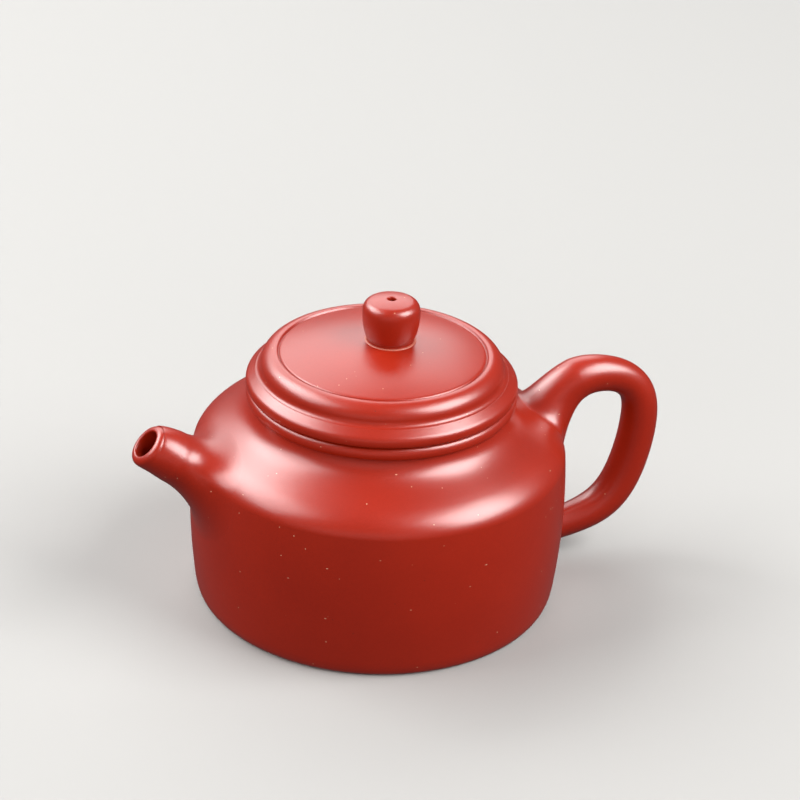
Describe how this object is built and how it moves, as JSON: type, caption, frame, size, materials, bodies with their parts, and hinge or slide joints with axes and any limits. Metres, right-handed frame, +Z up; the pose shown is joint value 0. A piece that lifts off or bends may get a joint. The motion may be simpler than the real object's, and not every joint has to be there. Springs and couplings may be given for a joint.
{
  "type": "teapot",
  "caption": "Small lidded cylindrical clay teapot with a short raised spout, a round loop handle and a domed lid that lifts off by its knob.",
  "frame": {"origin": "centre of the flat base, on the surface that the pot stands on", "axes": "+Z up along the axis of the pot, the spout towards -X and the handle towards +X"},
  "size_m": [0.1179, 0.08, 0.0674],
  "materials": {
    "burnished_clay": "satin",
    "plain_clay": "matt"
  },
  "bodies": {
    "pot": {"base_disc": "burnished_clay", "body_wall": "burnished_clay", "shoulder_disc": "burnished_clay", "neck_ring": "burnished_clay", "mouth_bead": "burnished_clay", "spout": "burnished_clay", "spout_strainer": "plain_clay", "handle": "burnished_clay"},
    "lid": {"lid_plate": "plain_clay", "lid_rim": "burnished_clay", "lid_flange": "plain_clay", "lid_dome": "burnished_clay", "knob": "burnished_clay"}
  },
  "joints": [
    {"name": "lid_lift", "type": "slide", "parent": "pot", "child": "lid", "axis": [0, 0, 1], "range_m": [0, 0.03]}
  ]
}
